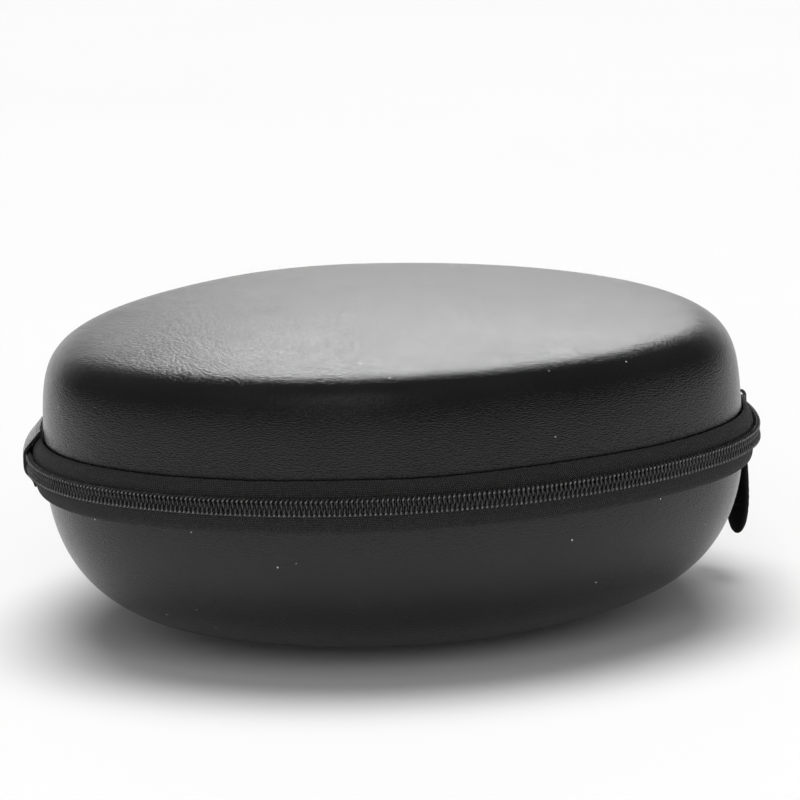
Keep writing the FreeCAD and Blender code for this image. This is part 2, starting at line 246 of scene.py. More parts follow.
CAP_SHARE = 0.8  # of half the thickness, that each end of a strip bulges by


def ribbon_loop(path, thickness):
    """The closed outline of a strip of cloth seen end on, with round edges."""
    along = np.gradient(path, axis=0)
    along /= np.linalg.norm(along, axis=1, keepdims=True)
    across = np.stack([-along[:, 1], along[:, 0]], axis=-1)
    half = thickness / 2
    outer, inner = path - across * half, path + across * half
    start_cap = path[:1] - along[:1] * half * CAP_SHARE
    end_cap = path[-1:] + along[-1:] * half * CAP_SHARE
    return np.concatenate([outer, end_cap, inner[::-1], start_cap])


# ---------------------------------------------------------------- meshes

def mesh_object(name, vertices, faces, material, body, uv=None):
    """A mesh piece with one material that rides on a body. uv holds one pair for each face corner."""
    mesh = bpy.data.meshes.new(name)
    mesh.from_pydata(np.asarray(vertices).tolist(), [], faces)
    if uv is not None:
        layer = mesh.uv_layers.new(name="weave")
        layer.data.foreach_set("uv", np.asarray(uv, np.float32).ravel())
    mesh.polygons.foreach_set("use_smooth", [True] * len(mesh.polygons))
    mesh.materials.append(material)
    mesh.validate()
    mesh.update()
    piece = bpy.data.objects.new(name, mesh)
    bpy.context.scene.collection.objects.link(piece)
    if body:
        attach(piece, body)
    return piece


def grid_faces(rows, columns, wrap_rows, wrap_columns, flip):
    """Quads of a grid of points, as row and column indices before wrapping."""
    row = np.arange(rows if wrap_rows else rows - 1)
    column = np.arange(columns if wrap_columns else columns - 1)
    r, c = (part.ravel() for part in np.meshgrid(row, column, indexing="ij"))
    corner_rows = np.stack([r, r, r + 1, r + 1], axis=-1)
    corner_columns = np.stack([c, c + 1, c + 1, c], axis=-1)
    if flip:
        return corner_rows[:, ::-1], corner_columns[:, ::-1]
    return corner_rows, corner_columns


def grid_object(
    name, points, material, body, wrap_rows=False, wrap_columns=False, flip=False, lengths=None, pole=None,
):
    """A piece from a grid of points. lengths gives metres along rows and columns for the weave."""
    rows, columns = points.shape[:2]
    r, c = grid_faces(rows, columns, wrap_rows, wrap_columns, flip)
    faces = ((r % rows) * columns + c % columns).tolist()
    vertices = points.reshape(-1, 3)
    uv = None
    if lengths is not None:
        row_lengths, column_lengths = (np.append(part, 2 * part[-1] - part[-2]) for part in lengths)
        uv = np.stack([row_lengths[r], column_lengths[c]], axis=-1)
    if pole is not None:
        vertices = np.concatenate([vertices, [pole]])
        ring = (rows - 1) * columns + np.arange(columns)
        after = np.roll(ring, -1)
        for first, second in zip(ring.tolist(), after.tolist()):
            faces.append([first, second, rows * columns] if not flip else [second, first, rows * columns])
    return mesh_object(name, vertices, faces, material, body, uv)


def bowl_object(name, profile, material, body, flip=False):
    """A smooth closed-over bowl from a profile, round the whole plan."""
    angles = angles_evenly(0.0, 360.0, BOWL_STEP)[:-1]
    points = place(angles[None, :], profile[:, :1], profile[:, 1:])
    pole = np.array([0.0, 0.0, (ZIP_Z + profile[-1, 1]) * MM])
    return grid_object(name, points, material, body, wrap_columns=True, flip=flip, pole=pole)


def sweep_object(name, loop, angles, material, body, closed_path=False, edge_waver=None):
    """A closed (n, z) loop swept along the plan, with ends filled."""
    points = place(angles[:, None], loop[None, :, 0], loop[None, :, 1])
    if edge_waver is not None:
        points = points + edge_waver
    around = np.append(0.0, np.cumsum(np.linalg.norm(np.diff(loop, axis=0), axis=1)))
    lengths = (length_at(angles) * MM, around * MM)
    piece = grid_object(
        name, points, material, body, wrap_rows=closed_path, wrap_columns=True, lengths=lengths,
    )
    if not closed_path:
        close_ends(piece, len(angles), len(loop))
    return piece


def rounded_section(turn, power):
    """Both coordinates of a rounded box (low power) or an oval (power 1) at these angles."""
    across, up = np.cos(turn), np.sin(turn)
    return np.sign(across) * np.abs(across) ** power, np.sign(up) * np.abs(up) ** power


def close_ends(piece, rows, columns):
    """Fill the two ends of a swept loop."""
    made = piece.data
    corners = [list(polygon.vertices) for polygon in made.polygons]
    old_uv = np.empty(len(made.loops) * 2, np.float32)
    made.uv_layers["weave"].data.foreach_get("uv", old_uv)
    first = list(range(columns))[::-1]
    last = [(rows - 1) * columns + k for k in range(columns)]
    vertices = [vertex.co.copy() for vertex in made.vertices]
    made.clear_geometry()
    made.from_pydata(vertices, [], corners + [first, last])
    layer = made.uv_layers.new(name="weave")
    padded = np.concatenate([old_uv, np.zeros(4 * columns, np.float32)])
    layer.data.foreach_set("uv", padded)
    made.polygons.foreach_set("use_smooth", [True] * len(corners) + [False, False])
    made.update()


def rings(side, other, sides):
    """A unit circle at each point of a path, from two unit vectors across the path there."""
    turn = np.arange(sides) * TAU / sides
    return np.cos(turn)[None, :, None] * side[:, None, :] + np.sin(turn)[None, :, None] * other[:, None, :]


def tube_object(name, centres, radius, sides, material, body, closed=False):
    """A round tube along a path of points in metres."""
    along = np.gradient(centres, axis=0)
    if closed:
        along = np.roll(centres, -1, axis=0) - np.roll(centres, 1, axis=0)
    along /= np.linalg.norm(along, axis=1, keepdims=True)
    up = np.where(np.abs(along[:, 2:]) > 0.9, [[1.0, 0.0, 0.0]], [[0.0, 0.0, 1.0]])
    side = np.cross(along, up)
    side /= np.linalg.norm(side, axis=1, keepdims=True)
    other = np.cross(side, along)
    ring = rings(side, other, sides)
    points = centres[:, None, :] + ring * radius
    return grid_object(name, points, material, body, wrap_rows=closed, wrap_columns=True)


def stitch_object(name, starts, ends, radius, material, body):
    """A row of thread stitches, each a short spindle from a start to an end point."""
    shares = np.array([0.0, 0.12, 0.35, 0.65, 0.88, 1.0])
    widths = np.array([0.05, 0.75, 1.0, 1.0, 0.75, 0.05]) * radius
    sides = 6
    along = ends - starts
    unit = along / np.linalg.norm(along, axis=1, keepdims=True)
    across = np.cross(unit, [[0.0, 0.0, 1.0]])
    steep = np.linalg.norm(across, axis=1) < 0.1
    across[steep] = [1.0, 0.0, 0.0]
    across /= np.linalg.norm(across, axis=1, keepdims=True)
    other = np.cross(across, unit)
    ring = rings(across, other, sides)
    rows = starts[:, None, None, :] + along[:, None, None, :] * shares[None, :, None, None]
    points = rows + ring[:, None, :, :] * widths[None, :, None, None]
    count = len(starts)
    faces = []
    block = len(shares) * sides
    r, c = grid_faces(len(shares), sides, False, True, False)
    local = (r * sides + c % sides)
    for index in range(count):
        faces.extend((local + index * block).tolist())
    return mesh_object(name, points.reshape(-1, 3), faces, material, body)


# ---------------------------------------------------------------- materials

def node(tree, kind, values=None, **settings):
    """Add a shader node. values sets or links its inputs; settings sets its properties."""
    made = tree.nodes.new(kind)
    for key, value in settings.items():
        setattr(made, key, value)
    for key, value in (values or {}).items():
        socket = made.inputs[key]
        if isinstance(value, bpy.types.NodeSocket):
            tree.links.new(value, socket)
        else:
            socket.default_value = value
    return made


def math_node(tree, operation, first, second=0.0):
    """The value of one Math node."""
    return node(tree, "ShaderNodeMath", {0: first, 1: second}, operation=operation).outputs[0]


def weighted(tree, first, first_share, second, second_share):
    """Two values, each times its share, added."""
    one = math_node(tree, "MULTIPLY", first, first_share)
    other = math_node(tree, "MULTIPLY", second, second_share)
    return math_node(tree, "ADD", one, other)


def ramp(tree, factor, low, high, start=0.0, end=1.0):
    """A grey or coloured ramp between two colours."""
    made = node(tree, "ShaderNodeValToRGB", {"Fac": factor})
    made.color_ramp.elements[0].position = start
    made.color_ramp.elements[1].position = end
    made.color_ramp.elements[0].color = (*low, 1.0)
    made.color_ramp.elements[1].color = (*high, 1.0)
    return made.outputs["Color"]


def noise(tree, coordinates, scale, detail=2.0, roughness=0.5):
    """The value of a Noise texture."""
    values = {"Vector": coordinates, "Scale": scale, "Detail": detail, "Roughness": roughness}
    return node(tree, "ShaderNodeTexNoise", values).outputs["Fac"]


def cells(tree, coordinates, scale, feature="F1"):
    """The distance of a Voronoi texture."""
    values = {"Vector": coordinates, "Scale": scale}
    return node(tree, "ShaderNodeTexVoronoi", values, feature=feature).outputs["Distance"]


def scaled(tree, value, low, high):
    """Map 0..1 to low..high."""
    values = {"Value": value, "To Min": low, "To Max": high}
    return node(tree, "ShaderNodeMapRange", values).outputs["Result"]


def bump(tree, height, strength, distance):
    """A bump normal from a height."""
    values = {"Height": height, "Strength": strength, "Distance": distance}
    return node(tree, "ShaderNodeBump", values).outputs["Normal"]


def new_material(name, **constants):
    """A Principled material. Returns the material, its tree, its shader and object coordinates."""
    material = bpy.data.materials.new(name)
    material.use_nodes = True
    tree = material.node_tree
    shader = tree.nodes["Principled BSDF"]
    for key, value in constants.items():
        shader.inputs[key.replace("_", " ")].default_value = value
    coordinates = node(tree, "ShaderNodeTexCoord").outputs["Object"]
    return material, tree, shader, coordinates


def connect(tree, shader, **inputs):
    """Link values to the shader's inputs."""
    for key, value in inputs.items():
        tree.links.new(value, shader.inputs[key.replace("_", " ")])


DUST_CELLS = 125.0
DUST_RADIUS = 0.036  # as a share of a cell
GRAIN_DRAW = 3.4  # how many times longer the grain is along the walls than up them


def leather_material():
    """Black coated leather: fine grain drawn out along the walls, mottling and specks of dust."""
    material, tree, shader, where = new_material("pu_leather", Specular_IOR_Level=0.4)
    mottle = noise(tree, where, scale=38.0, detail=4.0, roughness=0.55)
    base = ramp(tree, mottle, (0.0042, 0.0042, 0.0042), (0.0075, 0.0074, 0.0072), 0.3, 0.7)
    speck = math_node(tree, "LESS_THAN", cells(tree, where, DUST_CELLS), DUST_RADIUS)
    fluff = math_node(tree, "GREATER_THAN", noise(tree, where, scale=900.0), 0.4)
    dusty = mix_colour(tree, math_node(tree, "MULTIPLY", speck, fluff), base, (0.40, 0.39, 0.37, 1.0))
    stretch = {"Vector": where, "Scale": (1.0, 1.0, GRAIN_DRAW)}
    drawn = node(tree, "ShaderNodeMapping", stretch).outputs["Vector"]
    grain = cells(tree, drawn, 1150.0, "SMOOTH_F1")
    pores = noise(tree, drawn, scale=2900.0, detail=2.0)
    height = weighted(tree, grain, 0.7, pores, 0.3)
    fine = bump(tree, height, strength=0.7, distance=0.00022)
    swell = noise(tree, where, scale=60.0, detail=2.0)
    values = {"Height": swell, "Strength": 0.3, "Distance": 0.0006, "Normal": fine}
    broad = node(tree, "ShaderNodeBump", values).outputs["Normal"]
    connect(tree, shader, Base_Color=dusty, Roughness=scaled(tree, mottle, 0.22, 0.28), Normal=broad)
    return material


def mix_colour(tree, factor, first, second):
    """Mix two colours by a factor. Either colour may be a socket or a value."""
    made = node(tree, "ShaderNodeMix", data_type="RGBA")
    # Sockets share their names, so they go by number: 0 the factor, 6 and 7 the colours.
    for index, value in ((0, factor), (6, first), (7, second)):
        if isinstance(value, bpy.types.NodeSocket):
            tree.links.new(value, made.inputs[index])
        else:
            made.inputs[index].default_value = value
    return made.outputs[2]


def weave_coordinates(tree):
    """Metres along and across a woven strip, from its weave map."""
    uv = node(tree, "ShaderNodeUVMap", uv_map="weave").outputs["UV"]
    parts = node(tree, "ShaderNodeSeparateXYZ", {"Vector": uv})
    return parts.outputs["X"], parts.outputs["Y"]


TAPE_RIB_WIDTH = 0.0012
TAPE_YARN_PITCH = 0.00062
CROSS_YARN_PITCH = 0.0005


def tape_material():
    """Black herringbone tape: diagonal yarns that turn back every rib."""
    material, tree, shader, where = new_material("zip_tape_weave", Specular_IOR_Level=0.3, Sheen_Weight=0.04)
    along, across = weave_coordinates(tree)
    rib = math_node(tree, "PINGPONG", across, TAPE_RIB_WIDTH)
    diagonal = math_node(tree, "ADD", along, rib)
    yarn = math_node(tree, "SINE", math_node(tree, "MULTIPLY", diagonal, TAU / TAPE_YARN_PITCH))
    cross = math_node(tree, "SINE", math_node(tree, "MULTIPLY", across, TAU / CROSS_YARN_PITCH))
    woven = weighted(tree, yarn, 0.32, cross, 0.18)
    woven = math_node(tree, "ADD", woven, 0.5)
    fuzz = noise(tree, where, scale=1500.0, detail=4.0, roughness=0.75)
    height = weighted(tree, woven, 0.6, fuzz, 0.7)
    colour = ramp(tree, height, (0.001, 0.001, 0.001), (0.075, 0.074, 0.072), 0.66, 1.0)
    connect(
        tree, shader, Base_Color=colour, Roughness=scaled(tree, fuzz, 0.62, 0.9),
        Normal=bump(tree, height, strength=1.0, distance=0.0004),
    )
    return material


def coil_material():
    """Black nylon monofilament."""
    material, tree, shader, where = new_material("nylon_coil", Specular_IOR_Level=0.45)
    wear = noise(tree, where, scale=700.0, detail=2.0)
    colour = ramp(tree, wear, (0.015, 0.015, 0.015), (0.042, 0.0415, 0.041), 0.3, 0.75)
    connect(
        tree, shader, Base_Color=colour, Roughness=scaled(tree, wear, 0.2, 0.32),
        Normal=bump(tree, wear, strength=0.15, distance=0.00005),
    )
    return material


def painted_highlight_thread_material():
    """Sewing thread, black in life, coloured light grey as a painted highlight on the stitches, with a fine
    uneven tone.
    """
    material, tree, shader, where = new_material("sewing_thread_painted_highlight", Sheen_Weight=0.15)
    strand = noise(tree, where, scale=2400.0, detail=2.0)
    # Light grey colour: a painted highlight that stands in for the glints on black thread.
    colour = ramp(tree, strand, (0.06, 0.06, 0.059), (0.19, 0.187, 0.182), 0.35, 0.7)
    connect(
        tree, shader, Base_Color=colour, Roughness=scaled(tree, strand, 0.5, 0.7),
        Normal=bump(tree, strand, strength=0.6, distance=0.0001),
    )
    return material


def lining_material():
    """Charcoal brushed knit with a short pile."""
    material, tree, shader, where = new_material("brushed_lining", Sheen_Weight=0.35, Sheen_Roughness=0.4)
    pile = noise(tree, where, scale=1900.0, detail=4.0, roughness=0.7)
    shade = noise(tree, where, scale=22.0, detail=3.0)
    height = weighted(tree, pile, 0.7, shade, 0.3)
    colour = ramp(tree, height, (0.016, 0.016, 0.018), (0.062, 0.062, 0.066), 0.25, 0.75)
    connect(
        tree, shader, Base_Color=colour, Roughness=scaled(tree, pile, 0.8, 0.95),
        Normal=bump(tree, pile, strength=0.7, distance=0.0003),
    )
    return material


def ribbed_material(name, pitch, low, high):
    """Woven binding or elastic with cross ribs."""
    material, tree, shader, where = new_material(name, Sheen_Weight=0.1)
    along, across = weave_coordinates(tree)
    rib = math_node(tree, "SINE", math_node(tree, "MULTIPLY", along, TAU / pitch))
    yarn = math_node(tree, "SINE", math_node(tree, "MULTIPLY", across, TAU / CROSS_YARN_PITCH))
    height = weighted(tree, rib, 0.35, yarn, 0.15)
    height = math_node(tree, "ADD", height, 0.5)
    fuzz = noise(tree, where, scale=2500.0, detail=2.0)
    colour = ramp(tree, height, low, high)
    connect(
        tree, shader, Base_Color=colour, Roughness=scaled(tree, fuzz, 0.65, 0.88),
        Normal=bump(tree, height, strength=0.8, distance=0.0002),
    )
    return material


def speckled_material(name, low, high, scale, roughness, strength, distance, **constants):
    """Moulded, foamed or painted stuff: a fine speckle of colour, gloss and relief."""
    material, tree, shader, where = new_material(name, **constants)
    fine = noise(tree, where, scale, detail=3.0, roughness=0.6)
    broad = noise(tree, where, scale * 0.05, detail=2.0)
    colour = ramp(tree, broad, low, high, 0.3, 0.7)
    connect(
        tree, shader, Base_Color=colour, Roughness=scaled(tree, fine, *roughness),
        Normal=bump(tree, fine, strength, distance),
    )
    return material


LEATHER = leather_material()
TAPE = tape_material()
COIL = coil_material()
THREAD_WITH_PAINTED_HIGHLIGHT = painted_highlight_thread_material()
LINING = lining_material()
BINDING = ribbed_material("ribbed_binding", 0.0011, (0.006, 0.006, 0.007), (0.03, 0.03, 0.031))
ELASTIC = ribbed_material("ribbed_elastic", 0.0016, (0.012, 0.012, 0.013), (0.05, 0.05, 0.052))
NET = speckled_material(
    "net_yarn", (0.012, 0.012, 0.013), (0.03, 0.03, 0.031), 2500.0, (0.6, 0.8), 0.5, 0.0001,
    Sheen_Weight=0.15,
)
FOAM = speckled_material(
    "moulded_foam", (0.02, 0.02, 0.021), (0.032, 0.032, 0.033), 1500.0, (0.75, 0.95), 0.5, 0.0002,
)
PAINT = speckled_material(
    "black_enamel", (0.010, 0.010, 0.010), (0.016, 0.016, 0.017), 900.0, (0.28, 0.42), 0.12, 0.00006,
    Coat_Weight=0.2,
)
STAPLE = speckled_material(
    "steel_staple", (0.35, 0.35, 0.36), (0.5, 0.5, 0.5), 1200.0, (0.25, 0.45), 0.2, 0.00005, Metallic=1.0,
)
RUBBER = speckled_material(
    "pull_rubber", (0.0016, 0.0016, 0.0017), (0.003, 0.003, 0.003), 1800.0, (0.6, 0.75), 0.35, 0.00008,
    Specular_IOR_Level=0.28,
)


# ---------------------------------------------------------------- shells

def make_covers():
    """The leather skins of both halves."""
    lid_outline = np.concatenate([[[-LIP_WIDTH, RIM_GAP]], lid_profile(0.0)])
    lid = bowl_object("lid_cover", lid_outline, LEATHER, "lid")
    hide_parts("lid_skin")
    base_outline = np.concatenate([[[-LIP_WIDTH, -RIM_GAP]], base_profile(0.0)])
    base = bowl_object("base_cover", base_outline, LEATHER, "base", flip=True)
    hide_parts("base_skin")


def make_linings():
    """The brushed fabric inside both halves."""
    lid = bowl_object("lid_lining_cloth", lid_profile(LINING_DEPTH), LINING, "lid", flip=True)
    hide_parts("lid_lining")
    base = bowl_object("base_lining_cloth", base_profile(LINING_DEPTH), LINING, "base")
    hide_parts("base_lining")


# ---------------------------------------------------------------- zip

LID_TAPE_PATH = [(2.58, 0.35), (2.62, 2.4), (2.3, 3.9), (1.4, 5.5), (0.55, 6.4)]
BASE_TAPE_PATH = [(2.58, -0.35), (2.66, -2.6), (2.5, -5.0), (2.1, -6.8), (1.3, -7.4), (0.45, -7.2)]
TAPE_THICKNESS = 0.62
TAPE_STEP = 0.6
TAPE_ROWS = 24
SELVEDGE_DEPTH = 2.2
SELVEDGE_KNOTS = 0.06
SELVEDGE_WAVES = 0.35
WAVE_WINDOW = 81


def make_tape(half, path):
    """One half's woven tape, with a slightly uneven selvedge."""
    angles = angles_evenly(HINGE_ANGLE + TAPE_END, HINGE_ANGLE + 360.0 - TAPE_END, TAPE_STEP)
    section = smooth_path(path, TAPE_ROWS)
    loop = ribbon_loop(section if half == "lid" else section[::-1], TAPE_THICKNESS)
    source = np.random.default_rng(SEED + len(half))
    knots = source.normal(0.0, 1.0, len(angles))
    drawn = source.normal(0.0, 1.0, len(angles) + WAVE_WINDOW - 1)
    soft = np.convolve(drawn, np.hanning(WAVE_WINDOW), "valid")
    soft = soft / np.abs(soft).max()
    distance = np.hypot(loop[:, 0] - path[-1][0], loop[:, 1] - path[-1][1])
    near_edge = np.clip(1.0 - distance / SELVEDGE_DEPTH, 0.0, 1.0) ** 2
    waver = np.zeros((len(angles), len(loop), 3))
    uneven = knots[:, None] * SELVEDGE_KNOTS + soft[:, None] * SELVEDGE_WAVES
    waver[:, :, 2] = uneven * near_edge[None, :] * MM
    tape = sweep_object(half + "_tape", loop, angles, TAPE, half, edge_waver=waver)
    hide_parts(half + "_zip_tape")


def coil_turns():
    """Where a coil starts along the outline, in mm, and how many turns it has."""
    first = length_at(math.radians(HINGE_ANGLE + COIL_END))
    last = length_at(math.radians(HINGE_ANGLE + 360.0 - COIL_END))
    return first, int((last - first) / COIL_PITCH) - 1


def make_coil(half, side, shift):
    """One half of the coil chain: a flattened helix whose heads reach between those of the other half."""
    first, turns = coil_turns()
    phase = np.arange(turns * COIL_STEPS + 1) * TAU / COIL_STEPS
    along = first + COIL_PITCH * (shift + phase / TAU)
    low, high = COIL_REACH
    middle, reach = (low + high) / 2, (high - low) / 2
    lean = COIL_LEAN * COIL_PITCH * np.sin(2 * phase)
    angles = angles_along(along + lean)
    n = COIL_CENTRE_N + COIL_HALF_THICKNESS * np.sin(phase)
    z = side * (middle - reach * np.cos(phase))
    coil = tube_object(half + "_coil", place(angles, n, z), COIL_WIRE * MM, COIL_SIDES, COIL, half)
    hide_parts(half + "_zip_coil")


def make_coil_stitches(half, side, shift):
    """The thread that ties every turn of a coil down to its tape."""
    first, turns = coil_turns()
    along = first + COIL_PITCH * (shift + COIL_STITCH_PHASE + np.arange(turns))
    low_z, high_z = sorted(side * z for z in COIL_STITCH_Z)
    starts = place(angles_along(along - COIL_STITCH_LEAN), COIL_STITCH_N, low_z)
    ends = place(angles_along(along + COIL_STITCH_LEAN), COIL_STITCH_N, high_z)
    # The light grey thread of these stitches is a painted highlight.
    row = stitch_object(half + "_coil_stitches", starts, ends, COIL_STITCH_RADIUS * MM, THREAD_WITH_PAINTED_HIGHLIGHT, half)


# ---------------------------------------------------------------- hinge

SPINE_PATH = [
    (0.75, 7.9), (2.05, 6.4), (3.7, 4.6), (5.2, 2.6), (5.45, 0.0), (5.2, -2.7), (3.4, -5.2), (2.72, -7.1),
]
SPINE_THICKNESS = 0.7
SPINE_SEAMS = {"lid": (1.75, 7.3), "base": (3.3, -6.3)}
SPINE_STEP = 1.0
SPINE_ROWS = 30
SEAM_RADIUS = 0.17
SEAM_STEP = 1.5
SEAM_MARGIN = 1.0  # degrees
HINGE_LINING_PATH = [(-5.25, -6.0), (-5.6, -3.0), (-5.75, 0.0), (-5.6, 3.0), (-5.25, 6.0)]
HINGE_LINING_STEP = 1.2
HINGE_LINING_ROWS = 22
HINGE_LINING_THICKNESS = 0.5


def make_spine():
    """The leather strip over the back of the band."""
    start = HINGE_ANGLE - SPINE_HALF_ANGLE
    angles = angles_evenly(start, start + 2 * SPINE_HALF_ANGLE, SPINE_STEP)
    loop = ribbon_loop(smooth_path(SPINE_PATH, SPINE_ROWS), SPINE_THICKNESS)
    spine = sweep_object("spine_cover", loop, angles, LEATHER, None)
    join_across_hinge(spine)
    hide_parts("hinge_spine_cover")
    for body, (n, z) in SPINE_SEAMS.items():
        row = angles_evenly(start + SEAM_MARGIN, start + 2 * SPINE_HALF_ANGLE - SEAM_MARGIN, SEAM_STEP)
        starts = place(row[:-1:2], n, z)
        ends = place(row[1::2], n, z)
        count = min(len(starts), len(ends))
        name = "spine_seam_" + body
        # The light grey thread of these seams is a painted highlight.
        stitch_object(name, starts[:count], ends[:count], SEAM_RADIUS * MM, THREAD_WITH_PAINTED_HIGHLIGHT, body)


def join_across_hinge(piece):
    """Bake a piece's placement into its mesh."""
    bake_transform(piece)


def make_hinge_lining():
    """The fabric strip that covers the hinge from inside."""
    half_angle = HINGE_LINING_HALF_ANGLE
    angles = angles_evenly(HINGE_ANGLE - half_angle, HINGE_ANGLE + half_angle, HINGE_LINING_STEP)
    loop = ribbon_loop(smooth_path(HINGE_LINING_PATH, HINGE_LINING_ROWS), HINGE_LINING_THICKNESS)
    strip = sweep_object("hinge_lining_cloth", loop[::-1], angles, LINING, None)
    join_across_hinge(strip)
    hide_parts("hinge_lining")


# ---------------------------------------------------------------- rims

RIM_STEP = 1.2
RIM_MIDDLE_Z = 0.78
RIM_EDGE_N = (-4.95, -2.2, 0.7)
RIM_EDGE_THICKNESS = 0.8
PIPING_N = 0.47
PIPING_Z = (1.5, 3.7)
PIPING_THICKNESS = 0.5


def make_rims(half, side):
    """The ribbed binding folded over a rim, and the piping behind its tape."""
    whole_turn = angles_evenly(0.0, 360.0, RIM_STEP)[:-1]
    edge = ribbon_loop(smooth_path([(n, side * RIM_MIDDLE_Z) for n in RIM_EDGE_N], 14), RIM_EDGE_THICKNESS)
    binding = sweep_object(half + "_rim_edge", edge, whole_turn, BINDING, half, closed_path=True)
    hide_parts(half + "_rim_binding")
    wall = np.array([(PIPING_N, side * z) for z in np.linspace(*PIPING_Z, 5)])
    cord = ribbon_loop(wall, PIPING_THICKNESS)
    piping = sweep_object(half + "_rim_piping", cord, whole_turn, BINDING, half, closed_path=True)
    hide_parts(half + "_rim_welt")


# ---------------------------------------------------------------- lid pocket

POCKET_Z = 8.3
POCKET_MOUTH_Y = -8.0
NET_INSET = 6.5
NET_SCALE = 1.0 - NET_INSET / SCALING_RADIUS
NET_SIDE = 1.4
NET_YARN = 0.55
NET_SAG = 1.6
NET_SAG_EASE = 25.0
NET_COLUMNS = 50  # on each side of the middle
NET_END_SHARE = 1.2  # rows are tried up to here and kept only inside the plan
POCKET_BINDING_PATH = [(-6.0, 6.9), (-5.9, 8.3), (-6.0, 9.7)]
POCKET_BINDING_THICKNESS = 0.7
ELASTIC_Y = (-14.2, -8.2)
ELASTIC_THICKNESS = 1.3
ELASTIC_ROWS = 720
ELASTIC_SIDES = 28
ELASTIC_ROUNDING = 0.35
GATHER_LENGTH = 2.4
GATHER_DEPTH = 0.28
GATHER_DRIFT = 9.0


def inside_share(x, y):
    """How far out a point is, from 0 at the middle to 1 on the outline."""
    radius = np.hypot(PLAN_X, PLAN_Y)
    bearing = np.unwrap(np.arctan2(PLAN_Y, PLAN_X))
    wanted = np.mod(np.arctan2(y, x) - bearing[0], TAU) + bearing[0]
    return np.hypot(x, y) / np.interp(wanted, bearing, radius)


def make_pocket_net(trims):
    """An open hexagonal net, stretched from the binding to the mouth with a slight sag."""
    step_x, step_y = math.sqrt(3.0) * NET_SIDE, 1.5 * NET_SIDE
    vertices, index, faces = [], {}, []
    for row in range(int((SCALING_RADIUS * NET_END_SHARE - POCKET_MOUTH_Y) / step_y)):
        for column in range(-NET_COLUMNS, NET_COLUMNS + 1):
            x = (column + 0.5 * (row % 2)) * step_x
            y = POCKET_MOUTH_Y + NET_SIDE + row * step_y
            if inside_share(x, y) > NET_SCALE - NET_SIDE / SCALING_RADIUS:
                continue
            faces.append([net_corner(vertices, index, x, y, turn) for turn in range(6)])
    net = mesh_object("pocket_netting", vertices, faces, NET, "lid")
    wires = net.modifiers.new("yarn", "WIREFRAME")
    wires.thickness = NET_YARN * MM
    wires.use_even_offset = False
    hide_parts("pocket_net")


def net_corner(vertices, index, x, y, turn):
    """The index of one corner of a net cell, shared with its neighbours, in metres and sagging."""
    bearing = math.radians(60.0 * turn + 30.0)
    corner_x, corner_y = x + NET_SIDE * math.cos(bearing), y + NET_SIDE * math.sin(bearing)
    key = (round(corner_x, 2), round(corner_y, 2))
    if key not in index:
        slack = max(0.0, 1.0 - (inside_share(corner_x, corner_y) / NET_SCALE) ** 2)
        slack *= min(1.0, (corner_y - POCKET_MOUTH_Y) / NET_SAG_EASE)
        index[key] = len(vertices)
        vertices.append((corner_x * MM, corner_y * MM, (ZIP_Z + POCKET_Z - NET_SAG * slack) * MM))
    return index[key]


def make_pocket_binding():
    """The tape that sews the net's edge to the lid's lining."""
    ahead = PLAN_Y * NET_SCALE <= POCKET_MOUTH_Y
    right = math.degrees(PLAN_ANGLES[RIGHT_FRONT & ahead][-1]) - 360.0
    angles = angles_evenly(right, 180.0 - right, RIM_STEP)
    loop = ribbon_loop(smooth_path(POCKET_BINDING_PATH, 9), POCKET_BINDING_THICKNESS)
    binding = sweep_object("pocket_edge_tape", loop, angles, BINDING, "lid")
    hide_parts("pocket_binding")
    return binding


def make_pocket_elastic():
    """The gathered elastic along the pocket's mouth."""
    turn = np.linspace(0.0, TAU, ELASTIC_SIDES, endpoint=False)
    section_y, section_z = rounded_section(turn, ELASTIC_ROUNDING)
    y = (ELASTIC_Y[0] + ELASTIC_Y[1]) / 2 + section_y * (ELASTIC_Y[1] - ELASTIC_Y[0]) / 2
    reach = np.interp(y, PLAN_Y[RIGHT_FRONT] * NET_SCALE, PLAN_X[RIGHT_FRONT] * NET_SCALE)
    along = np.linspace(-1.0, 1.0, ELASTIC_ROWS)
    x = along[:, None] * reach[None, :]
    ripple = GATHER_DEPTH * np.sin(x / GATHER_LENGTH * TAU + 0.7 * np.sin(x / GATHER_DRIFT))
    z = ZIP_Z + POCKET_Z + section_z[None, :] * (ELASTIC_THICKNESS / 2 - GATHER_DEPTH) + ripple
    points = np.stack([x, np.broadcast_to(y[None, :], x.shape), z], axis=-1) * MM
    around = np.append(0.0, np.cumsum(np.hypot(np.diff(y), np.diff(section_z)))) * MM
    lengths = (along * reach.max() * MM, around)
    elastic = grid_object("pocket_mouth_elastic", points, ELASTIC, "lid", wrap_columns=True, lengths=lengths)
    close_ends(elastic, len(along), len(turn))
    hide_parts("pocket_elastic")
    return elastic


# ---------------------------------------------------------------- pull tabs

# Half widths and half thicknesses, in mm, at distances below the eye
TAB_WIDTHS = [
    (1.2, 1.7), (5.0, 2.3), (12.0, 3.6), (20.5, 4.5), (26.5, 3.9), (29.6, 2.5), (30.8, 1.0), (31.0, 0.1),
]
TAB_DEPTHS = [
    (1.2, 0.62), (5.0, 0.75), (12.0, 1.25), (20.5, 1.4), (26.5, 1.2), (29.6, 0.8), (30.8, 0.4), (31.0, 0.1),
]
TAB_GRIP = (14.0, 25.0)
TAB_RIB_PITCH = 2.2
TAB_RIB_DEPTH = 0.22
TAB_EYE_RADIUS = 1.72
TAB_EYE_WIRE = 0.64
TAB_ROWS = 90
TAB_SIDES = 32
TAB_ROUNDING = 0.8
TAB_EYE_STEPS = 40
TAB_EYE_SIDES = 14
TAB_TWIST = 18.0  # degrees about the vertical, as a loose tab hangs
TAB_LEAN = 0.07  # how far the tab leans inwards for each mm that it hangs


